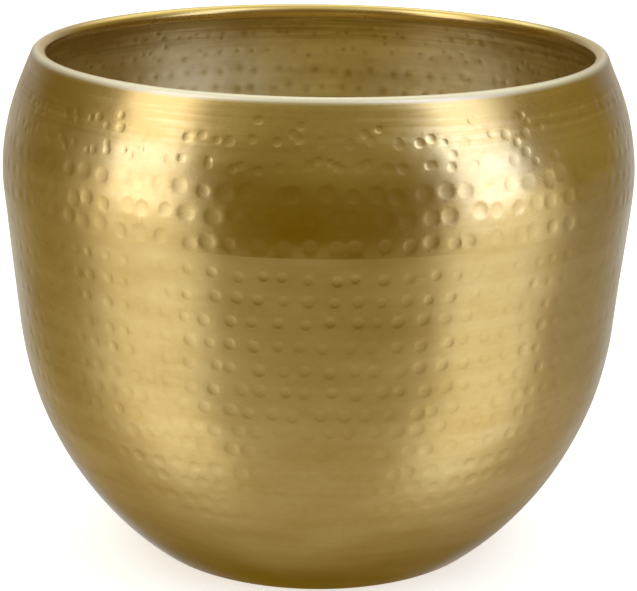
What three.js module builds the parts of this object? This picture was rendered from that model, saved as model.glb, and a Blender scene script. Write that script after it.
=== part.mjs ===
// Brass planter pot: a spun lower bowl and a spun shoulder band, lapped and brazed together at
// the break line round the body, with the lip of the band rolled round a wire.
// Millimetres, +Z up, origin at the middle of the flat base.
import * as THREE from "three";

// Driving dimensions
const MAX_RADIUS = 180; // widest place of the shoulder
const WIDEST_HEIGHT = 219;
const OVERALL_HEIGHT = 290;
const SHEET = 1.2;
const GAP = 0.3; // clearance between pieces that lie against each other

const CREASE_HEIGHT = 213; // break line, where the two shells meet
const CREASE_RADIUS = 179.8;
const WALL_LEAN = THREE.MathUtils.degToRad(5.4); // outward lean of the wall below the break line
const CONE_HEIGHT = 80; // straight part of that wall
const BELLY_ARC = 194; // arc that rounds the wall under
const BASE_FILLET = 5; // arc between the belly and the flat base
const LAP = 10; // how far the bowl stands up behind the shoulder band

const SHOULDER_ARC = 134;
const SHOULDER_LEAN = THREE.MathUtils.degToRad(23.2); // inward lean of the wall under the lip
const WIRE_RADIUS = 2.7;
const LIP_INNER = WIRE_RADIUS + GAP;
const LIP_OUTER = LIP_INNER + SHEET;
const LIP_HEIGHT = OVERALL_HEIGHT - LIP_OUTER; // height of the wire's centre line
const CURL_END = THREE.MathUtils.degToRad(295); // where the rolled edge stops, short of the wall
const BRAZE_HEIGHT = 3.2;

// Fineness of the round shapes
const ROUND_SEGMENTS = 64;
const BELLY_STEPS = 9;
const FILLET_STEPS = 3;
const SHOULDER_STEPS = 5;
const CURL_STEPS = 11;
const WIRE_STEPS = 10;

// Finish of the metal
const BRASS = { roughness: 0.38, metalness: 1 };

// Points of an arc in the (radius, height) plane, both ends included.
function arc(centre, radius, start, end, steps) {
  return Array.from({ length: steps + 1 }, (_, i) => {
    const angle = THREE.MathUtils.lerp(start, end, i / steps);
    return new THREE.Vector2(Math.cos(angle), Math.sin(angle)).multiplyScalar(radius).add(centre);
  });
}

// One piece of the pot: a closed outline turned once round the pot's axis.
function turned(name, outline, look) {
  const closed = outline[0].x === 0 ? outline : [...outline, outline[0].clone()];
  const geometry = new THREE.LatheGeometry(closed, ROUND_SEGMENTS);
  geometry.rotateX(Math.PI / 2);
  const mesh = new THREE.Mesh(geometry, new THREE.MeshStandardMaterial(look));
  mesh.name = name;
  return mesh;
}

// Centre of the belly arc: tangent to the straight wall, CONE_HEIGHT below the break line.
const bellyCentre = new THREE.Vector2(
  CREASE_RADIUS - CONE_HEIGHT * Math.tan(WALL_LEAN) - BELLY_ARC * Math.cos(WALL_LEAN),
  CREASE_HEIGHT - CONE_HEIGHT + BELLY_ARC * Math.sin(WALL_LEAN),
);

// Centre of the base fillet: tangent to the ground and, from inside, to the belly arc.
const baseCentre = new THREE.Vector2(
  bellyCentre.x + Math.sqrt((BELLY_ARC - BASE_FILLET) ** 2 - (bellyCentre.y - BASE_FILLET) ** 2),
  BASE_FILLET,
);

// One face of the bowl's sheet, from the axis up to the top of the straight wall.
function bowlFace(inset, top) {
  const blend = Math.atan2(baseCentre.y - bellyCentre.y, baseCentre.x - bellyCentre.x);
  const drop = CREASE_HEIGHT - top;
  const wallRadius = CREASE_RADIUS - inset / Math.cos(WALL_LEAN) - drop * Math.tan(WALL_LEAN);
  return [
    new THREE.Vector2(0, inset),
    ...arc(baseCentre, BASE_FILLET - inset, -Math.PI / 2, blend, FILLET_STEPS),
    ...arc(bellyCentre, BELLY_ARC - inset, blend, -WALL_LEAN, BELLY_STEPS).slice(1),
    new THREE.Vector2(wallRadius, top),
  ];
}

// The bowl steps in at the break line and stands up behind the shoulder band.
const lapFace = CREASE_RADIUS - SHEET - GAP;

function lowerBowl() {
  const lapTop = CREASE_HEIGHT + LAP;
  const outline = [
    ...bowlFace(0, CREASE_HEIGHT),
    new THREE.Vector2(lapFace, CREASE_HEIGHT),
    new THREE.Vector2(lapFace, lapTop),
    new THREE.Vector2(lapFace - SHEET, lapTop),
    new THREE.Vector2(lapFace - SHEET, CREASE_HEIGHT),
    ...bowlFace(SHEET, CREASE_HEIGHT - SHEET).reverse(),
  ];
  return turned("lower_bowl", outline, { color: 0x9a8040, ...BRASS });
}

// Centre of the rolled lip: the straight wall above the shoulder arc is tangent to it.
const shoulderCentre = new THREE.Vector2(MAX_RADIUS - SHOULDER_ARC, WIDEST_HEIGHT);
const lipCentre = new THREE.Vector2(
  shoulderCentre.x +
    (SHOULDER_ARC - LIP_OUTER - (LIP_HEIGHT - shoulderCentre.y) * Math.sin(SHOULDER_LEAN)) /
      Math.cos(SHOULDER_LEAN),
  LIP_HEIGHT,
);

// One face of the shoulder band's sheet, from the break line up over the lip and round the wire.
function shoulderFace(inset) {
  return [
    new THREE.Vector2(CREASE_RADIUS - inset, CREASE_HEIGHT + GAP),
    ...arc(shoulderCentre, SHOULDER_ARC - inset, 0, SHOULDER_LEAN, SHOULDER_STEPS),
    ...arc(lipCentre, LIP_OUTER - inset, SHOULDER_LEAN, CURL_END, CURL_STEPS),
  ];
}

function shoulderBand() {
  const outline = [...shoulderFace(0), ...shoulderFace(SHEET).reverse()];
  return turned("shoulder_band", outline, { color: 0xa58a48, ...BRASS });
}

function rimWire() {
  const outline = arc(lipCentre, WIRE_RADIUS, 0, 2 * Math.PI, WIRE_STEPS).slice(0, -1);
  return turned("rim_wire", outline, { color: 0x8c7a4a, roughness: 0.5, metalness: 1 });
}

// Fillet of filler metal inside the pot, on the bowl's top edge and against the shoulder band.
function brazedSeam() {
  const foot = CREASE_HEIGHT + LAP + GAP;
  const back = MAX_RADIUS - SHEET - 2 * GAP;
  const outline = [
    new THREE.Vector2(lapFace - SHEET, foot),
    new THREE.Vector2(back, foot),
    new THREE.Vector2(back, foot + BRAZE_HEIGHT),
    new THREE.Vector2(back - BRAZE_HEIGHT / 4, foot + BRAZE_HEIGHT / 3),
  ];
  return turned("brazed_seam", outline, { color: 0xb59a5c, roughness: 0.55, metalness: 1 });
}

const pot = new THREE.Group();
pot.add(lowerBowl(), shoulderBand(), rimWire(), brazedSeam());

export default pot;
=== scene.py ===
"""Looks of the brass planter pot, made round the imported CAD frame.

The lower bowl and the shoulder band are shells of spun sheet with a real hammer mark for every
punch: a dish on the outside and a soft bump behind it on the inside. Shapes are worked out in
millimetres and turned into metres where a mesh is made; the studio is in metres. +Z is up, and
the camera side is -Y.
"""

import math

import bpy
import numpy as np
from mathutils import Matrix, Vector
from mathutils.geometry import delaunay_2d_cdt


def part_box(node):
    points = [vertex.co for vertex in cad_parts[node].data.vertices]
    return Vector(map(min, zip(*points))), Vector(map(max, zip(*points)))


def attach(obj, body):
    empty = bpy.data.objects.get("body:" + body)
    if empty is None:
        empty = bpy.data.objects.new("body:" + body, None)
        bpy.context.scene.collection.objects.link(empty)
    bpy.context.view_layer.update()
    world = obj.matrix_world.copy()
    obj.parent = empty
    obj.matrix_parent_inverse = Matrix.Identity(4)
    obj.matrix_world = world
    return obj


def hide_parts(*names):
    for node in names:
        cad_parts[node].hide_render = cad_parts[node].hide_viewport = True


MM = 0.001
TURN = 2 * math.pi

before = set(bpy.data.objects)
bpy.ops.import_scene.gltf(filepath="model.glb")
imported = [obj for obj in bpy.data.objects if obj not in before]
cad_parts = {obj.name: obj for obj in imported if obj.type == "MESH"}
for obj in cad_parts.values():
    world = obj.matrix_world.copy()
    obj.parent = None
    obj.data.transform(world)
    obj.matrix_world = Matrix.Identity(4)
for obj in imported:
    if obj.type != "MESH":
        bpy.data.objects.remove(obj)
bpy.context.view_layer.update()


def box_mm(node):
    """Lowest and highest corners of a CAD node, in millimetres."""
    low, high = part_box(node)
    return low / MM, high / MM


# ---------------------------------------------------------------------------------------------
# Sizes: the outer ones from the frame, the others as the CAD shells have them, in millimetres
# ---------------------------------------------------------------------------------------------

_, BOWL_HIGH = box_mm("lower_bowl")
BAND_LOW, BAND_HIGH = box_mm("shoulder_band")
BRAZE_LOW, BRAZE_HIGH = box_mm("brazed_seam")

SHEET = 1.2
GAP = 0.3
MAX_RADIUS = BAND_HIGH.x
OVERALL_HEIGHT = BAND_HIGH.z
CREASE_HEIGHT = BAND_LOW.z - GAP
CREASE_RADIUS = BOWL_HIGH.x
LAP_TOP = BOWL_HIGH.z
LAP_FACE = CREASE_RADIUS - SHEET - GAP

WIDEST_ABOVE_CREASE = 6
SHOULDER_ARC = 134
SHOULDER_LEAN = math.radians(23.2)
WALL_LEAN = math.radians(5.4)
CONE_HEIGHT = 80
BELLY_ARC = 194
BASE_FILLET = 5

WIRE_RADIUS = 2.7
LIP_OUTER = WIRE_RADIUS + GAP + SHEET
CURL_END = math.radians(295)
EDGE_ROUND = 0.35  # radius that the top edge of the lap is dressed to
LAP_BEND = 1  # height inside, above the crease, where the lap starts to stand straight
HAIRLINE = 0.01  # gap that shows between the two shells at the crease

shoulder_centre = np.array([MAX_RADIUS - SHOULDER_ARC, CREASE_HEIGHT + WIDEST_ABOVE_CREASE])
lip_height = OVERALL_HEIGHT - LIP_OUTER
lip_centre = np.array([
    shoulder_centre[0]
    + (SHOULDER_ARC - LIP_OUTER - (lip_height - shoulder_centre[1]) * math.sin(SHOULDER_LEAN))
    / math.cos(SHOULDER_LEAN),
    lip_height,
])
belly_centre = np.array([
    CREASE_RADIUS - CONE_HEIGHT * math.tan(WALL_LEAN) - BELLY_ARC * math.cos(WALL_LEAN),
    CREASE_HEIGHT - CONE_HEIGHT + BELLY_ARC * math.sin(WALL_LEAN),
])
base_centre = np.array([
    belly_centre[0]
    + math.sqrt((BELLY_ARC - BASE_FILLET) ** 2 - (belly_centre[1] - BASE_FILLET) ** 2),
    BASE_FILLET,
])
base_blend = math.atan2(*(base_centre - belly_centre)[::-1])

# Hammer marks of the bowl
MARKS_PER_TURN = 90
BOWL_ROWS = 15
BOWL_FIRST_ROW = 10.4  # below the crease, along the wall
BOWL_ROW_PITCH = 12.3
BOWL_ROW_SHIFT = 0.9  # most that a whole row is out of place
BOWL_MARK = 6.0  # diameter in the top row
BOWL_MARK_GROWTH = 0.2  # wider by this much in each row below
BOWL_DEPTH = 0.13
FADING_ROWS = 6  # the lowest ones, which grow shallow
LEAST_FADE = 0.2

# Hammer marks of the band: big ones in the lower rows, small and loose ones above
BAND_ROWS = 5
BAND_FIRST_ROW = 6.4  # above the crease, along the wall
BAND_ROW_PITCH = 12.9
BAND_ROW_SHIFT = 0.6
BIG_ROWS = 3
BIG_MARK = 8.8
BIG_DEPTH = 0.23
BIG_FADE = 0.12  # share of the depth that each row loses on the way up
BIG_LOOSENING = 0.3  # unevenness that each row gains, where the bowl's is 1
SMALL_MARK = 5.8
SMALL_DEPTH = 0.15
SMALL_UNEVENNESS = 2.2
SECOND_MARK = 0.8  # size of the second marks, as a share of the small ones
SECOND_ABOVE = 3
SECOND_SHARE = 0.75  # share of places that have a second mark
SECOND_UNEVENNESS = 5

# How hand work strays from even rows
ROW_TURN = 0.6  # spread of the places where rows start, in pitches
STRAY_ALONG = 0.11  # spread of a mark along its row, in pitches
STRAY_ACROSS = 0.55  # spread of a mark across its row
DRIFT = ((0.7, 2), (0.5, 5))  # slow waves of a row: height and number round the pot
DIAMETER_RANGE = (0.86, 1.14)  # shares of the diameter
DEPTH_RANGE = (0.6, 1.25)  # shares of the depth
SEED = 7

# Shape of one mark, and the painted shade on it, in shares of its radius and depth
BLUNTNESS = 3.5  # power of the dish's curve, higher for a flatter middle
BUMP_REACH = 0.95
BUMP_HEIGHT = 2.0
# painted shade: a dark ring just inside each dish's rim, and a dark spot on each bump
RIM_SHADE_AT = 0.95
RIM_SHADE_WIDTH = 0.16
BUMP_SHADE_WIDTH = 0.5
MARK_REACH = 1.4  # beyond this a mark changes nothing
MARK_HEART = 0.86  # inside this only the mark's own mesh points are kept

# Slow unevenness of the sheet and of the filler metal
SWELL_TURNS = (3, 5, 9, 14, 21, 30)  # waves round the pot
SWELL_RATE = (0.02, 0.16)  # radians for each millimetre of height
SWELL_HEIGHT = 0.16
TRUE_END = 10  # the sheet comes back to its true shape over this length at each end
RIPPLE_TURNS = (7, 17, 31, 53)  # of the brazed fillet

# Fineness of the meshes
COLUMNS = 180
COLUMN_ANGLES = np.arange(COLUMNS + 1) * TURN / COLUMNS  # the last is a whole turn
CHAIN_STEP = 0.25  # between the points that a face is measured with
FILL_STEP = 4.2  # between rows of mesh points in plain sheet
FILL_STRETCH = 1.3  # step along a row, in fill steps
FILL_CELL = 0.55  # fill steps across the grid that keeps the fill away from the marks
CLOSEST = 0.45  # mesh points nearer than this become one
MARGIN = 1.2  # free of mesh points at the seam and at the ends of a face
WIRE_SIDES = 16
SHARP_ANGLE = math.radians(40)


# ---------------------------------------------------------------------------------------------
# Outlines in the (radius, height) plane
# ---------------------------------------------------------------------------------------------


def arc(centre, radius, start, end):
    """Fine chain of points along an arc, both ends included."""
    count = max(2, math.ceil(abs(end - start) * radius / CHAIN_STEP))
    angle = np.linspace(start, end, count + 1)
    return centre + radius * np.stack([np.cos(angle), np.sin(angle)], axis=1)


def line(start, end):
    """Fine chain of points along a straight stretch, both ends included."""
    start, end = np.array(start, float), np.array(end, float)
    count = max(1, math.ceil(np.linalg.norm(end - start) / CHAIN_STEP))
    return start + (end - start) * np.linspace(0, 1, count + 1)[:, None]


class Face:
    """A stretch of a shell's outline, walked with the metal on the left of the way.

    `along` is the distance walked, and `level` the same distance divided by the radius, so that
    (angle round the axis, level) is a map of the face on which a small circle stays a circle.
    """

    def __init__(self, *chains):
        points = np.concatenate(chains)
        fresh = np.linalg.norm(np.diff(points, axis=0), axis=1) > CHAIN_STEP / 50
        points = points[np.concatenate([[True], fresh])]
        step = np.linalg.norm(np.diff(points, axis=0), axis=1)
        self.radius, self.height = points.T
        self.along = np.concatenate([[0], np.cumsum(step)])
        middle = (self.radius[1:] + self.radius[:-1]) / 2
        self.level = np.concatenate([[0], np.cumsum(step / middle)])
        way = np.gradient(points, self.along, axis=0)
        way /= np.linalg.norm(way, axis=1)[:, None]
        self.out_radius, self.out_height = way[:, 1], -way[:, 0]

    def length(self):
        return self.along[-1]

    def read(self, name, level):
        return np.interp(level, self.level, getattr(self, name))

    def level_at(self, along):
        return np.interp(along, self.along, self.level)

    def level_at_height(self, height):
        order = np.argsort(self.height)
        return np.interp(height, self.height[order], self.level[order])

    def place(self, angle, level, lift):
        """Points in space at these places of the map, lifted off the sheet by `lift`."""
        radius = self.read("radius", level) + lift * self.read("out_radius", level)
        height = self.read("height", level) + lift * self.read("out_height", level)
        return np.stack([radius * np.cos(angle), radius * np.sin(angle), height], axis=1)


# ---------------------------------------------------------------------------------------------
# Hammer marks
# ---------------------------------------------------------------------------------------------


def wave(angle, turns, phase):
    return np.sin(turns * angle + phase)


def struck_row(draw, middle, diameter, depth, unevenness):
    """One row of marks round the pot, as columns: angle, distance, radius, depth."""
    pitch = TURN / MARKS_PER_TURN
    angle = np.arange(MARKS_PER_TURN) * pitch
    angle = angle + draw.uniform(-0.5, 0.5) * pitch * ROW_TURN
    angle = angle + draw.normal(0, STRAY_ALONG * unevenness, MARKS_PER_TURN) * pitch
    drift = sum(height * wave(angle, turns, draw.uniform(0, TURN)) for height, turns in DRIFT)
    along = middle + drift + draw.normal(0, STRAY_ACROSS * unevenness, MARKS_PER_TURN)
    radius = diameter / 2 * draw.uniform(*DIAMETER_RANGE, MARKS_PER_TURN)
    depths = depth * draw.uniform(*DEPTH_RANGE, MARKS_PER_TURN)
    return np.stack([angle % TURN, along, radius, depths], axis=1)


def bowl_marks(draw):
    """Marks on the bowl, placed by their distance below the crease."""
    rows = []
    for i in range(BOWL_ROWS):
        along = BOWL_FIRST_ROW + i * BOWL_ROW_PITCH + draw.uniform(-BOWL_ROW_SHIFT, BOWL_ROW_SHIFT)
        fade = min(1, max(LEAST_FADE, (BOWL_ROWS - i) / FADING_ROWS))
        diameter = BOWL_MARK + i * BOWL_MARK_GROWTH
        rows.append(struck_row(draw, along, diameter, BOWL_DEPTH * fade, 1))
    return np.concatenate(rows)


def band_marks(draw):
    """Marks on the shoulder band, placed by their distance above the crease."""
    rows = []
    for i in range(BAND_ROWS):
        along = BAND_FIRST_ROW + i * BAND_ROW_PITCH + draw.uniform(-BAND_ROW_SHIFT, BAND_ROW_SHIFT)
        if i < BIG_ROWS:
            depth = BIG_DEPTH * (1 - BIG_FADE * i)
            rows.append(struck_row(draw, along, BIG_MARK, depth, 1 + BIG_LOOSENING * i))
        else:
            rows.append(struck_row(draw, along, SMALL_MARK, SMALL_DEPTH, SMALL_UNEVENNESS))
            diameter = SMALL_MARK * SECOND_MARK
            second = struck_row(draw, along + SECOND_ABOVE, diameter, SMALL_DEPTH, SECOND_UNEVENNESS)
            rows.append(second[draw.random(MARKS_PER_TURN) < SECOND_SHARE])
    return np.concatenate(rows)


def punched(distance, radius, depth):
    """Depth of the dish that a blunt punch leaves: shallow inside, steeper at the rim."""
    t = distance / radius
    return depth * np.clip(1 - t ** BLUNTNESS, 0, None)


def raised(distance, radius, depth):
    """Height of the round bump behind a mark."""
    t = np.clip(distance / (BUMP_REACH * radius), 0, 1)
    return BUMP_HEIGHT * depth * (1 - t * t) ** 2


def painted_rim_shade(distance, radius, depth):
    """Painted shade along the rim of a mark, 0 to 1, that draws its outline darker."""
    t = distance / radius
    return np.exp(-(((t - RIM_SHADE_AT) / RIM_SHADE_WIDTH) ** 2)) * min(1, depth / BOWL_DEPTH)


def painted_bump_shade(distance, radius, depth):
    """Painted shade on a bump, up to 1 and less on a shallow one."""
    spread = BUMP_SHADE_WIDTH * radius
    return np.exp(-((distance / spread) ** 2)) * min(1, depth / BOWL_DEPTH - 0.1)


def covered(distance, radius, depth):
    """1 in the heart of a mark, 0 outside it."""
    return (distance < MARK_HEART * radius).astype(float)


def undulation(draw):
    """Slow unevenness of hand-worked sheet, as a function of (angle, height)."""
    terms = []
    for turns in SWELL_TURNS:
        rate = draw.uniform(*SWELL_RATE)
        phase, start = draw.uniform(0, TURN), draw.uniform(0, TURN)
        terms.append((turns, rate, phase, start))

    def lift(angle, height):
        total = np.zeros_like(angle)
        for turns, rate, phase, start in terms:
            swell = wave(angle, turns, phase) * np.sin(rate * height + start)
            total += swell * SWELL_HEIGHT / math.sqrt(turns)
        return total

    return lift


def over_marks(join, shape, angle, level, marks, mark_level, mark_scale):
    """The values of `shape` for all marks, joined by `join`, at each place of the map."""
    result = np.zeros(len(angle))
    order = np.argsort(level)
    sorted_level = level[order]
    for (mark_angle, _, radius, depth), centre, scale in zip(marks, mark_level, mark_scale):
        reach = MARK_REACH * radius / scale
        first, last = np.searchsorted(sorted_level, [centre - reach, centre + reach])
        near = order[first:last]
        across = (angle[near] - mark_angle + math.pi) % TURN - math.pi
        inside = np.abs(across) < reach
        near, across = near[inside], across[inside]
        distance = np.hypot(across, level[near] - centre) * scale
        result[near] = join(result[near], shape(distance, radius, depth))
    return result


# ---------------------------------------------------------------------------------------------
# Shell meshes
# ---------------------------------------------------------------------------------------------


class Shell:
    """A closed body of revolution, made ring by ring in the order of its outline."""

    def __init__(self):
        self.points = []
        self.mark_shades = []
        self.faces = []
        self.outside_faces = None

    def add(self, points, mark_shades=None):
        """Adds points in millimetres, with their painted mark shade from 0 to 1; gives their
        numbers.
        """
        first = len(self.points)
        self.points.extend(map(tuple, points))
        self.mark_shades.extend(np.zeros(len(points)) if mark_shades is None else mark_shades)
        return np.arange(first, first + len(points))

    def turn_inside(self):
        """From here on the outline is the inside of the pot, which has its own finish."""
        self.outside_faces = len(self.faces)

    def ring(self, radius, height):
        """Points round the axis; radius and height are one number, or one for each column."""
        angle = COLUMN_ANGLES[:-1]
        heights = np.broadcast_to(height, COLUMNS)
        return self.add(np.stack([radius * np.cos(angle), radius * np.sin(angle), heights], axis=1))

    def loft(self, ring, following):
        for a in range(COLUMNS):
            b = (a + 1) % COLUMNS
            self.faces.append((ring[a], ring[b], following[b], following[a]))

    def chain(self, ring, points):
        """Lofts from a ring through a list of (radius, height) points; gives the last ring."""
        for radius, height in points:
            following = self.ring(radius, height)
            if ring is not None:
                self.loft(ring, following)
            ring = following
        return ring

    def cap(self, ring, height, last):
        """Closes the shell with a fan at the axis, where its outline starts or ends."""
        (centre,) = self.add([(0, 0, height)])
        for a, b in zip(ring, np.roll(ring, -1)):
            self.faces.append((a, b, centre) if last else (b, a, centre))

    def patch(self, ring, face, lift, mark_shade, extra):
        """Fills a face with a triangle net that is fine at the marks; gives its last ring.

        `lift` and the function after it give the height off the sheet and the painted shade of the
        marks at places of the map, and `extra` are the places of the map where the marks need mesh
        points.
        """
        seam = face.level_at(np.arange(FILL_STEP / 2, face.length() - 1, FILL_STEP / 2))
        last_ring = self.ring(face.radius[-1], face.height[-1])

        inner = spaced(face, np.concatenate([extra, fill_places(face, extra)]))
        seam_places = np.stack([np.zeros(len(seam)), seam], axis=1)
        fresh = np.concatenate([seam_places, inner])
        ids = self.add(face.place(*fresh.T, lift(*fresh.T)), mark_shade(*fresh.T))

        places = np.concatenate([
            np.stack([COLUMN_ANGLES, np.zeros(COLUMNS + 1)], axis=1),
            np.stack([COLUMN_ANGLES, np.full(COLUMNS + 1, face.level[-1])], axis=1),
            seam_places,
            seam_places + [TURN, 0],
            inner,
        ])
        owner = np.concatenate([
            ring, ring[:1],
            last_ring, last_ring[:1],
            ids[:len(seam)],
            ids[:len(seam)],
            ids[len(seam):],
        ])
        found = delaunay_2d_cdt([Vector(p) for p in places], [], [], 0, 1e-9)
        source = [owner[originals[0]] for originals in found[3]]
        self.faces.extend(tuple(source[i] for i in corners) for corners in found[2])
        return last_ring

    def build(self, name):
        mesh = bpy.data.meshes.new(name)
        faces = [tuple(int(i) for i in corners) for corners in self.faces]
        mesh.from_pydata((np.array(self.points) * MM).tolist(), [], faces)
        mesh.attributes.new("mark_shade", "FLOAT", "POINT").data.foreach_set("value", self.mark_shades)
        if self.outside_faces is not None:
            inside = np.arange(len(faces)) >= self.outside_faces
            mesh.polygons.foreach_set("material_index", inside.astype(np.int32))
        mesh.shade_smooth()
        mesh.set_sharp_from_angle(angle=SHARP_ANGLE)
        piece = bpy.data.objects.new(name, mesh)
        bpy.context.scene.collection.objects.link(piece)
        return piece


def staggered(count, i):
    """Angles of `count` places round a circle, half a step further round where i is odd."""
    return (np.arange(count) + 0.5 * (i % 2)) * TURN / count


def fill_places(face, marked):
    """Staggered places over a face for plain sheet, away from the places that marks have."""
    rows = np.arange(FILL_STEP / 2, face.length(), FILL_STEP)
    places = []
    for i, along in enumerate(rows):
        level = face.level_at(along)
        count = round(TURN * face.read("radius", level) / (FILL_STRETCH * FILL_STEP))
        places.append(np.stack([staggered(count, i), np.full(count, level)], axis=1))
    places = np.concatenate(places)
    cell_size = FILL_STEP * FILL_CELL

    def cell(angle, level):
        radius, along = face.read("radius", level), face.read("along", level)
        return round(angle * radius / cell_size), round(along / cell_size)

    taken = {cell(*place) for place in marked}
    free = [cell(*place) not in taken for place in places]
    return places[np.array(free)]


def spaced(face, places):
    """Drops mesh points that crowd each other, the seam or the ends of the face."""
    scale = face.read("radius", places[:, 1])
    along = face.read("along", places[:, 1])
    clear = (places[:, 0] * scale > MARGIN) & ((TURN - places[:, 0]) * scale > MARGIN)
    clear &= (along > MARGIN) & (along < face.length() - MARGIN)
    places, scale, along = places[clear], scale[clear], along[clear]
    cells = np.stack([places[:, 0] * scale // CLOSEST, along // CLOSEST], axis=1)
    _, keep = np.unique(cells, axis=0, return_index=True)
    return places[np.sort(keep)]


def mark_places(marks, mark_level, mark_scale, rings):
    """Places of the map at and round every mark: its middle and rings of (reach, count)."""
    places, own = [], []
    for (angle, _, radius, _), level, scale in zip(marks, mark_level, mark_scale):
        for i, (reach, count) in enumerate(((0, 1),) + rings):
            turn = staggered(count, i)
            offset = np.stack([np.cos(turn), np.sin(turn)], axis=1) * reach * radius / scale
            places.append(offset + [angle, level])
            own.append(np.full(count, float(reach < MARK_HEART)))
    places = np.concatenate(places)
    places[:, 0] %= TURN
    cover = over_marks(np.add, covered, *places.T, marks, mark_level, mark_scale)
    return places[cover <= np.concatenate(own)]


# Side of the sheet: way that its marks go, their shape and painted shade, and rings of mesh points
OUTSIDE = (-1, punched, painted_rim_shade, ((0.5, 6), (0.8, 10), (1.0, 12), (1.17, 12)))
INSIDE = (1, raised, painted_bump_shade, ((0.45, 6), (0.95, 9)))


def hammered(shell, ring, face, marks, mark_heights, side, uneven):
    """A patch of sheet with its marks, which are dishes outside and bumps inside."""
    sign, shape, mark_shading, rings = side
    mark_level = face.level_at_height(mark_heights)
    mark_scale = face.read("radius", mark_level)

    def lift(angle, level):
        along = face.read("along", level)
        edge = np.clip(np.minimum(along, face.length() - along) / TRUE_END, 0, 1)
        struck = over_marks(np.maximum, shape, angle, level, marks, mark_level, mark_scale)
        return sign * (struck - uneven(angle, face.read("height", level)) * edge)

    def mark_shade(angle, level):
        return over_marks(np.maximum, mark_shading, angle, level, marks, mark_level, mark_scale)

    extra = mark_places(marks, mark_level, mark_scale, rings)
    return shell.patch(ring, face, lift, mark_shade, extra)


# ---------------------------------------------------------------------------------------------
# Pieces
# ---------------------------------------------------------------------------------------------


def outer_wall(inset):
    """Outside or inside of the bowl's belly arc and straight wall, up to the crease."""
    top = CREASE_HEIGHT - inset
    reach = CREASE_RADIUS - inset / math.cos(WALL_LEAN) - (CREASE_HEIGHT - top) * math.tan(WALL_LEAN)
    belly = arc(belly_centre, BELLY_ARC - inset, base_blend, -WALL_LEAN)
    return [belly, line(belly[-1], (reach, top))]


def shoulder_wall(inset):
    """Outside or inside of the band from the crease up to the lip's roll."""
    foot = (CREASE_RADIUS - inset, CREASE_HEIGHT + HAIRLINE)
    curve = arc(shoulder_centre, SHOULDER_ARC - inset, 0, SHOULDER_LEAN)
    reach = LIP_OUTER - inset
    way = np.array([math.cos(SHOULDER_LEAN), math.sin(SHOULDER_LEAN)])
    return [line(foot, curve[0]), curve, line(curve[-1], lip_centre + reach * way)]


def below_crease(distance):
    """Height of the outside of the bowl at a distance below the crease."""
    face = Face(*outer_wall(0))
    return np.interp(face.length() - distance, face.along, face.height)


def above_crease(distance):
    """Height of the outside of the band at a distance above the crease."""
    face = Face(*shoulder_wall(0))
    return np.interp(distance, face.along, face.height)


def lower_bowl(draw):
    """The bowl, from the middle of the base out and up, over the lap's edge and back inside."""
    shell = Shell()
    marks = bowl_marks(draw)
    heights = below_crease(marks[:, 1])
    uneven = undulation(draw)
    flat = base_centre[0]

    ring = shell.chain(None, [(flat * k, 0) for k in (0.08, 0.3, 0.55, 0.8, 1)])
    shell.cap(np.arange(COLUMNS), 0, last=False)
    ring = shell.chain(ring, arc(base_centre, BASE_FILLET, -math.pi / 2, base_blend)[2::2])
    ring = hammered(shell, ring, Face(*outer_wall(0)), marks, heights, OUTSIDE, uneven)
    ring = shell.chain(ring, [
        (LAP_FACE, CREASE_HEIGHT),
        (LAP_FACE, LAP_TOP - EDGE_ROUND),
        (LAP_FACE - EDGE_ROUND, LAP_TOP),
        (LAP_FACE - SHEET + EDGE_ROUND, LAP_TOP),
        (LAP_FACE - SHEET, LAP_TOP - EDGE_ROUND),
        (LAP_FACE - SHEET, CREASE_HEIGHT + LAP_BEND),
    ])
    shell.turn_inside()
    inner = [chain[::-1] for chain in outer_wall(SHEET)[::-1]]
    ring = shell.chain(ring, [inner[0][0]])
    ring = hammered(shell, ring, Face(*inner), marks, heights, INSIDE, uneven)
    ring = shell.chain(ring, arc(base_centre, BASE_FILLET - SHEET, base_blend, -math.pi / 2)[2::2])
    ring = shell.chain(ring, [(flat * k, SHEET) for k in (0.9, 0.7, 0.5, 0.3, 0.08)])
    shell.cap(ring, SHEET, last=True)
    return shell.build("hammered_lower_bowl")


def shoulder_band(draw):
    """The band, from the crease up and round the rolled lip, and back down inside."""
    shell = Shell()
    marks = band_marks(draw)
    heights = above_crease(marks[:, 1])
    uneven = undulation(draw)
    ring = shell.chain(None, [(CREASE_RADIUS, CREASE_HEIGHT + HAIRLINE)])
    ring = hammered(shell, ring, Face(*shoulder_wall(0)), marks, heights, OUTSIDE, uneven)
    ring = shell.chain(ring, arc(lip_centre, LIP_OUTER, SHOULDER_LEAN, CURL_END)[3::3])
    shell.turn_inside()
    curl = arc(lip_centre, LIP_OUTER - SHEET, CURL_END, SHOULDER_LEAN)[::3]
    ring = shell.chain(ring, curl[:-1])
    inner = [chain[::-1] for chain in shoulder_wall(SHEET)[::-1]]
    ring = shell.chain(ring, [inner[0][0]])
    ring = hammered(shell, ring, Face(*inner), marks, heights, INSIDE, uneven)
    shell.loft(ring, np.arange(COLUMNS))
    return shell.build("hammered_shoulder_band")


def rim_wire():
    """The round wire that the lip is rolled over."""
    shell = Shell()
    turn = np.linspace(0, TURN, WIRE_SIDES, endpoint=False)
    circle = np.stack([np.cos(turn), np.sin(turn)], axis=1)
    ring = shell.chain(None, lip_centre + WIRE_RADIUS * circle)
    shell.loft(ring, np.arange(COLUMNS))
    return shell.build("drawn_rim_wire")


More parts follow.
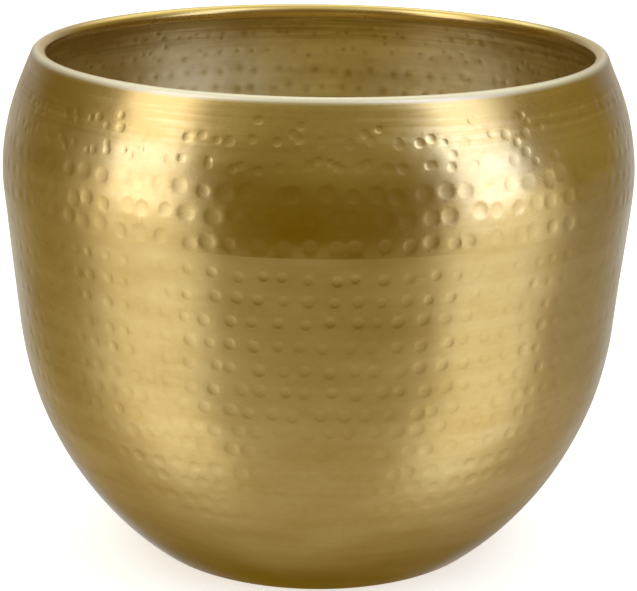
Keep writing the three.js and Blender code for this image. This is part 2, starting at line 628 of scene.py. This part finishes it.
def brazed_seam(draw):
    """The fillet of filler metal inside, with the slow ripple that it freezes in."""
    shell = Shell()
    foot, top = BRAZE_LOW.z, BRAZE_HIGH.z
    back = MAX_RADIUS - SHEET - 2 * GAP
    front = LAP_FACE - SHEET
    ripple = np.zeros(COLUMNS)
    for turns in RIPPLE_TURNS:
        ripple += wave(COLUMN_ANGLES[:-1], turns, draw.uniform(0, TURN)) / len(RIPPLE_TURNS)
    hollow = 0.5 * (back - front) * (1 + 0.25 * ripple)

    # Straight under and behind, then down the hollow front in shares of its width and height
    rings = [
        shell.ring(front, foot),
        shell.ring(back, foot),
        shell.ring(back, top + 0.4 * (ripple - 1)),
        shell.ring(back - hollow * 0.45, foot + (top - foot) * (0.42 + 0.08 * ripple)),
        shell.ring(back - hollow * 1.15, foot + (top - foot) * (0.15 + 0.05 * ripple)),
    ]
    for ring, following in zip(rings, rings[1:] + rings[:1]):
        shell.loft(ring, following)
    return shell.build("brazed_fillet")


# ---------------------------------------------------------------------------------------------
# Materials
# ---------------------------------------------------------------------------------------------


class Nodes:
    """Short names for adding and linking the nodes of one material or world."""

    def __init__(self, owner):
        owner.use_nodes = True
        self.tree = owner.node_tree
        self.tree.nodes.clear()

    def add(self, kind, settings=None, **inputs):
        node = self.tree.nodes.new(kind)
        for name, value in (settings or {}).items():
            setattr(node, name, value)
        for name, value in inputs.items():
            self.put(node.inputs[name.replace("_", " ")], value)
        return node

    def put(self, socket, value):
        if isinstance(value, bpy.types.NodeSocket):
            self.tree.links.new(value, socket)
        else:
            socket.default_value = value

    def operate(self, kind, operation, values):
        """The outputs of a node that does `operation` to these values."""
        node = self.add(kind, {"operation": operation})
        for socket, value in zip(node.inputs, values):
            self.put(socket, value)
        return node.outputs

    def math(self, operation, *values):
        return self.operate("ShaderNodeMath", operation, values)[0]

    def vector_math(self, operation, *values):
        return self.operate("ShaderNodeVectorMath", operation, values)

    def vector(self, x, y, z):
        return self.add("ShaderNodeCombineXYZ", X=x, Y=y, Z=z).outputs[0]

    def total(self, *weighted):
        """Sum of values, each times its weight."""
        result = 0.0
        for value, weight in weighted:
            result = self.math("ADD", self.math("MULTIPLY", value, weight), result)
        return result

    def ramp(self, value, start, end, low=0.0, high=1.0):
        """Maps start..end to low..high, and stays level outside."""
        node = self.add("ShaderNodeMapRange", From_Min=start, From_Max=end, To_Min=low, To_Max=high)
        self.put(node.inputs["Value"], value)
        return node.outputs["Result"]

    def step(self, value, start, end):
        """A soft step from 0 at start to 1 at end, which may lie either way."""
        soft = {"interpolation_type": "SMOOTHSTEP"}
        node = self.add("ShaderNodeMapRange", soft, Value=value, From_Min=start, From_Max=end)
        return node.outputs["Result"]

    def noise(self, vector, scale, detail=2.0):
        node = self.add("ShaderNodeTexNoise", Scale=scale, Detail=detail)
        self.put(node.inputs["Vector"], vector)
        return node.outputs["Fac"]

    def mix(self, factor, a, b, blend="MIX"):
        """Two colours mixed; a Mix node has its colour sockets at 6 and 7, and at 2 going out."""
        node = self.add("ShaderNodeMix", {"data_type": "RGBA", "blend_type": blend})
        self.put(node.inputs[0], factor)
        self.put(node.inputs[6], a)
        self.put(node.inputs[7], b)
        return node.outputs[2]

    def finish(self, output, shader):
        node = self.add(output)
        self.put(node.inputs["Surface"], shader.outputs[0])


# pale colour painted on the outer side of the lip's top as a highlight
LIP_HIGHLIGHT_BRASS = (0.68, 0.61, 0.47, 1)
LIP_HIGHLIGHT_SIDE = (-1.5, 1)  # millimetres out from the wire's centre, over which the painted lip highlight grows
LIP_HIGHLIGHT_TOP = (0.6, 2.4)  # and above it
SPUN_START, SPUN_FULL = 26, 8  # millimetres below the wire, where lathe lines are faint and full
SPUN_LEAST = 0.12
LINE_RELIEF = 0.00006  # metres
FOOT_TOP, FOOT_BOTTOM = 0.10, 0.01  # metres, between which the colour darkens downward
PATINA_AND_SHADE_RANGE = (0.92, 1.67)  # tone where the patina and painted mark shade start and where they are full
QUARTER_TURN = 0.25  # makes a brushed highlight stretch across the lathe lines, up and down


def painted_lip_highlight(nodes, radius, height):
    """1 on the outer side of the lip's top, which is painted pale as a highlight, and 0 elsewhere.
    """
    outer_side = nodes.ramp(radius, *[(lip_centre[0] + out) * MM for out in LIP_HIGHLIGHT_SIDE])
    top = nodes.ramp(height, *[(lip_height + up) * MM for up in LIP_HIGHLIGHT_TOP])
    return nodes.math("MULTIPLY", outer_side, top)


def satin_brass(name, bright, deep, roughness, mark_shading=0.15, brushed=0.0):
    """Spun brass under an aged satin lacquer.

    Fine lathe lines run round the axis and show most just under the lip. Patina lies over them
    in long soft streaks and clouds, and the colour darkens towards the foot. Painted shade, as
    much as the argument after `roughness` asks, darkens the hammer marks: a ring at the rim of
    each dish outside and a spot on each bump inside. The outer side of the lip's top is painted
    pale as a highlight. Where `brushed` is above 0 the lathe lines are so close that they spread
    a highlight up and down.
    """
    material = bpy.data.materials.new(name)
    nodes = Nodes(material)
    place = nodes.add("ShaderNodeTexCoord").outputs["Object"]
    x, y, height = nodes.add("ShaderNodeSeparateXYZ", Vector=place).outputs
    radius = nodes.vector_math("LENGTH", nodes.vector(x, y, 0.0))["Value"]
    turned = nodes.vector(radius, nodes.math("MULTIPLY", x, 0.03), height)
    squat = nodes.vector(nodes.math("MULTIPLY", x, 0.26), nodes.math("MULTIPLY", y, 0.26), height)

    fine = nodes.noise(turned, 420.0, 1.5)
    coarse = nodes.noise(turned, 150.0, 1.0)
    streaks = nodes.noise(squat, 80.0, 3.5)
    clouds = nodes.noise(place, 15.0, 3.5)
    haze = nodes.noise(place, 11.0, 3.0)
    specks = nodes.noise(place, 240.0, 2.0)
    # painted shade of the hammer marks, stored on the mesh points
    mark_shade = nodes.add("ShaderNodeAttribute", {"attribute_name": "mark_shade"}).outputs["Fac"]
    spun_start, spun_full = (lip_height - SPUN_START) * MM, (lip_height - SPUN_FULL) * MM
    spun = nodes.ramp(height, spun_start, spun_full, SPUN_LEAST, 1.0)
    scored = nodes.math("MULTIPLY", nodes.ramp(fine, 0.36, 0.64), spun)
    lines = nodes.math("MULTIPLY", nodes.total((fine, 0.6), (coarse, 1.0)), spun)
    foot = nodes.ramp(height, FOOT_TOP, FOOT_BOTTOM)
    lip_highlight = painted_lip_highlight(nodes, radius, height)

    tone = nodes.total(
        (streaks, 1.0),
        (clouds, 0.9),
        (specks, 0.2),
        (lines, 0.6),
        (scored, 0.4),
        (mark_shade, mark_shading),
        (foot, 0.2),
    )
    patina_and_shade = nodes.mix(nodes.ramp(tone, *PATINA_AND_SHADE_RANGE), bright, deep)
    # painted highlight: the outer side of the lip's top is turned pale
    colour = nodes.mix(lip_highlight, patina_and_shade, LIP_HIGHLIGHT_BRASS)
    matt = nodes.total((specks, 0.08), (haze, 0.42), (lip_highlight, 0.25))
    rough = nodes.ramp(matt, 0.15, 0.7, roughness - 0.08, roughness + 0.36)
    bump = nodes.add("ShaderNodeBump", Strength=1.0, Distance=LINE_RELIEF, Height=lines)
    round_axis = nodes.add("ShaderNodeTangent", {"direction_type": "RADIAL", "axis": "Z"})

    shader = nodes.add("ShaderNodeBsdfPrincipled", Base_Color=colour, Roughness=rough)
    shader.inputs["Metallic"].default_value = 1.0
    shader.inputs["Anisotropic"].default_value = brushed
    shader.inputs["Anisotropic Rotation"].default_value = QUARTER_TURN
    nodes.put(shader.inputs["Tangent"], round_axis.outputs["Tangent"])
    nodes.put(shader.inputs["Normal"], bump.outputs["Normal"])
    nodes.finish("ShaderNodeOutputMaterial", shader)
    return material


def floor_paper():
    """White paper that gives a little light of its own, so that it melts into the background."""
    material = bpy.data.materials.new("floor_paper")
    nodes = Nodes(material)
    place = nodes.add("ShaderNodeTexCoord").outputs["Object"]
    colour = nodes.mix(nodes.noise(place, 3.0), (0.86, 0.86, 0.85, 1), (0.88, 0.88, 0.87, 1))
    shader = nodes.add("ShaderNodeBsdfPrincipled", Base_Color=colour, Roughness=0.9)
    shader.inputs["Emission Color"].default_value = (1, 1, 1, 1)
    shader.inputs["Emission Strength"].default_value = 0.55
    nodes.finish("ShaderNodeOutputMaterial", shader)
    return material


# ---------------------------------------------------------------------------------------------
# Studio, in metres
# ---------------------------------------------------------------------------------------------

FLOOR_REACH = 8

# Lamps; an azimuth is turned from the camera side, to the right where it is positive
LAMP_LEFT = math.radians(-63.5)
LAMP_RIGHT = math.radians(55)
LAMP_DISTANCE = 1.6
LAMP_MIDDLE = 1.25
LAMP_HEIGHT = 2.4

# Floor that the lamps light, and what else the pot reflects: light that is added, part by part
# of the studio, to a dim warm room
POOL_LEFT = math.radians(-65)
POOL_RIGHT = math.radians(68)
POOL_REACH = math.radians(30)
ROOM = (0.180, 0.120, 0.001, 1)
GLOW = {
    "floor": (0.155, 0.14, 0.13, 1),
    "front_floor": (0.125, 0.135, 0.13, 1),
    "rear_floor": (0.23, 0.29, 0.31, 1),
    "sky": (0.10, 0.10, 0.065, 1),
    "left_low": (0.085, 0.08, 0.055, 1),
    "left_back": (0.08, 0.08, 0.08, 1),
    "right_low": (0.12, 0.133, 0.17, 1),
    "right_wall": (0.10, 0.095, 0.05, 1),
    "ceiling": (0.02, 0.08, 0.09, 1),
    "overhead": (0.60, 0.60, 0.58, 1),
    "ceiling_sides": (0.30, 0.31, 0.27, 1),
    "ceiling_back": (1.15, 1.30, 1.25, 1),
    "back_wall": (0.22, 0.27, 0.45, 1),
    "back_wall_middle": (0.26, 0.22, 0.10, 1),
    "pool_left": (0.69, 0.68, 0.65, 1),
    "pool_right": (0.66, 0.67, 0.69, 1),
    "foot_left": (0.24, 0.21, 0.14, 1),
    "foot_right": (0.22, 0.20, 0.14, 1),
}


def floor():
    """The ground, which the pot doesn't reflect: GLOW has the floor that it reflects."""
    reach = FLOOR_REACH
    corners = [(-reach, -reach, 0), (reach, -reach, 0), (reach, reach, 0), (-reach, reach, 0)]
    mesh = bpy.data.meshes.new("floor")
    mesh.from_pydata(corners, [], [(0, 1, 2, 3)])
    plane = bpy.data.objects.new("floor", mesh)
    bpy.context.scene.collection.objects.link(plane)
    mesh.materials.append(floor_paper())
    plane.visible_glossy = False


def softbox(name, azimuth, tilt, width, power, colour):
    """A tall soft light that stands at an azimuth and faces the pot, rolled by `tilt`."""
    light = bpy.data.lights.new(name, "AREA")
    light.shape = "RECTANGLE"
    light.size = width
    light.size_y = LAMP_HEIGHT
    light.energy = power
    light.color = colour
    lamp = bpy.data.objects.new(name, light)
    toward = Vector((math.sin(azimuth), -math.cos(azimuth), 0))
    place = toward * LAMP_DISTANCE + Vector((0, 0, LAMP_MIDDLE))
    aim = Vector((0, 0, LAMP_MIDDLE / 2)) - place
    turn = aim.to_track_quat("-Z", "Y").to_matrix().to_4x4() @ Matrix.Rotation(tilt, 4, "Z")
    lamp.location = place
    lamp.rotation_euler = turn.to_euler()
    lamp.visible_camera = False
    bpy.context.scene.collection.objects.link(lamp)


def lit_parts(nodes, way):
    """How much each part of GLOW lies in the direction `way`, 0 to 1."""
    x, y, z = nodes.add("ShaderNodeSeparateXYZ", Vector=way).outputs
    level_way = nodes.vector_math("NORMALIZE", nodes.vector(x, y, 0.0))[0]

    def both(a, b):
        return nodes.math("MULTIPLY", a, b)

    def pool(azimuth):
        """Lit floor under a lamp at this azimuth: 1 in its direction, 0 well away from it."""
        toward = (math.sin(azimuth), -math.cos(azimuth), 0)
        near = nodes.vector_math("DOT_PRODUCT", level_way, toward)["Value"]
        return nodes.step(near, math.cos(POOL_REACH), math.cos(POOL_REACH / 4))

    across = nodes.math("ABSOLUTE", x)
    left = nodes.step(x, -0.3, -0.6)
    right = nodes.step(x, 0.3, 0.6)
    side = both(nodes.step(y, -0.2, 0.25), nodes.step(y, 0.85, 0.6))
    low_side = both(side, nodes.step(z, -0.04, -0.18))
    under_pot = both(nodes.step(y, 0.12, 0.45), nodes.step(across, 0.55, 0.15))
    low = both(nodes.step(z, -0.22, -0.62), nodes.math("SUBTRACT", 1.0, under_pot))
    high = nodes.step(z, 0.45, 0.75)
    below_lamp = nodes.step(z, 0.12, -0.02)
    under_lamp = both(below_lamp, nodes.step(z, -1.0, -0.62))
    lamp_foot = both(below_lamp, nodes.step(z, -0.38, -0.20))
    pool_left, pool_right = pool(POOL_LEFT), pool(POOL_RIGHT)
    return {
        "floor": low,
        "front_floor": both(low, nodes.step(y, 0.3, -0.3)),
        "rear_floor": both(nodes.step(z, -0.05, -0.30), nodes.step(y, 0.72, 0.93)),
        "sky": nodes.step(z, 0.05, 0.45),
        "left_low": both(low_side, left),
        "left_back": both(nodes.step(y, 0.5, 0.8), left),
        "right_low": both(low_side, right),
        "right_wall": both(both(side, nodes.step(z, -0.18, -0.04)), right),
        "ceiling": high,
        "overhead": nodes.step(z, 0.60, 0.90),
        "ceiling_sides": both(high, nodes.step(across, 0.15, 0.60)),
        "ceiling_back": both(high, nodes.step(y, 0.15, 0.60)),
        "back_wall": nodes.step(y, 0.60, 0.88),
        "back_wall_middle": nodes.step(y, 0.85, 0.97),
        "pool_left": both(pool_left, under_lamp),
        "pool_right": both(pool_right, under_lamp),
        "foot_left": both(pool_left, lamp_foot),
        "foot_right": both(pool_right, lamp_foot),
    }


def studio_world():
    """White for the camera, and for reflections the dim room with everything in GLOW."""
    world = bpy.data.worlds.new("studio")
    bpy.context.scene.world = world
    nodes = Nodes(world)
    way = nodes.add("ShaderNodeTexCoord").outputs["Generated"]
    colour = ROOM
    for name, share in lit_parts(nodes, way).items():
        colour = nodes.mix(share, colour, GLOW[name], "ADD")
    shown = nodes.add("ShaderNodeLightPath").outputs["Is Camera Ray"]
    seen = nodes.mix(shown, colour, (1, 1, 1, 1))
    background = nodes.add("ShaderNodeBackground", Color=seen, Strength=1.0)
    nodes.finish("ShaderNodeOutputWorld", background)


def camera():
    """The view from a little over one metre away, looking down at the pot by about 16 degrees."""
    distance = 1.2
    elevation = math.radians(16.31)
    roll = math.radians(0.76)
    aim = Vector((0.00085, 0, 0.1419))
    sensor, focal_length = 36, 115.6  # millimetres
    lens = bpy.data.cameras.new("camera")
    lens.sensor_width = sensor
    lens.lens = focal_length
    lens.clip_end = 50
    eye = bpy.data.objects.new("camera", lens)
    bpy.context.scene.collection.objects.link(eye)
    place = aim + distance * Vector((0, -math.cos(elevation), math.sin(elevation)))
    tilt = Matrix.Rotation(math.pi / 2 - elevation, 4, "X")
    eye.matrix_world = Matrix.Translation(place) @ tilt @ Matrix.Rotation(roll, 4, "Z")
    bpy.context.scene.camera = eye


def finish_piece(piece, materials, node):
    """Gives a piece its materials and puts it in the place of its CAD node."""
    for material in materials:
        piece.data.materials.append(material)
    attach(piece, "root")
    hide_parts(node)


camera()
floor()
studio_world()
softbox(
    "softbox_left",
    azimuth=LAMP_LEFT,
    tilt=math.radians(7),
    width=0.92,
    power=15.8,
    colour=(0.76, 0.79, 1.0),
)
softbox(
    "softbox_right",
    azimuth=LAMP_RIGHT,
    tilt=math.radians(12),
    width=0.74,
    power=18.6,
    colour=(0.55, 0.63, 1.0),
)

outer_brass = satin_brass(
    "outer_brass",
    bright=(0.79, 0.64, 0.32, 1),
    deep=(0.61, 0.44, 0.155, 1),
    roughness=0.28,
)
# its bright colour is paler than the outside's: painted light that brightens the inside of the pot
inner_brass = satin_brass(
    "inner_brass",
    bright=(0.92, 0.80, 0.48, 1),
    deep=(0.54, 0.40, 0.14, 1),
    roughness=0.48,
    mark_shading=0.45,
    brushed=0.85,
)
wire_brass = satin_brass(
    "wire_brass",
    bright=(0.64, 0.52, 0.28, 1),
    deep=(0.50, 0.38, 0.18, 1),
    roughness=0.45,
)
braze_filler = satin_brass(
    "braze_filler",
    bright=(0.80, 0.68, 0.42, 1),
    deep=(0.62, 0.48, 0.24, 1),
    roughness=0.5,
)

draw = np.random.default_rng(SEED)
finish_piece(lower_bowl(draw), [outer_brass, inner_brass], "lower_bowl")
finish_piece(shoulder_band(draw), [outer_brass, inner_brass], "shoulder_band")
finish_piece(rim_wire(), [wire_brass], "rim_wire")
finish_piece(brazed_seam(draw), [braze_filler], "brazed_seam")

bpy.context.scene.view_settings.view_transform = "Standard"
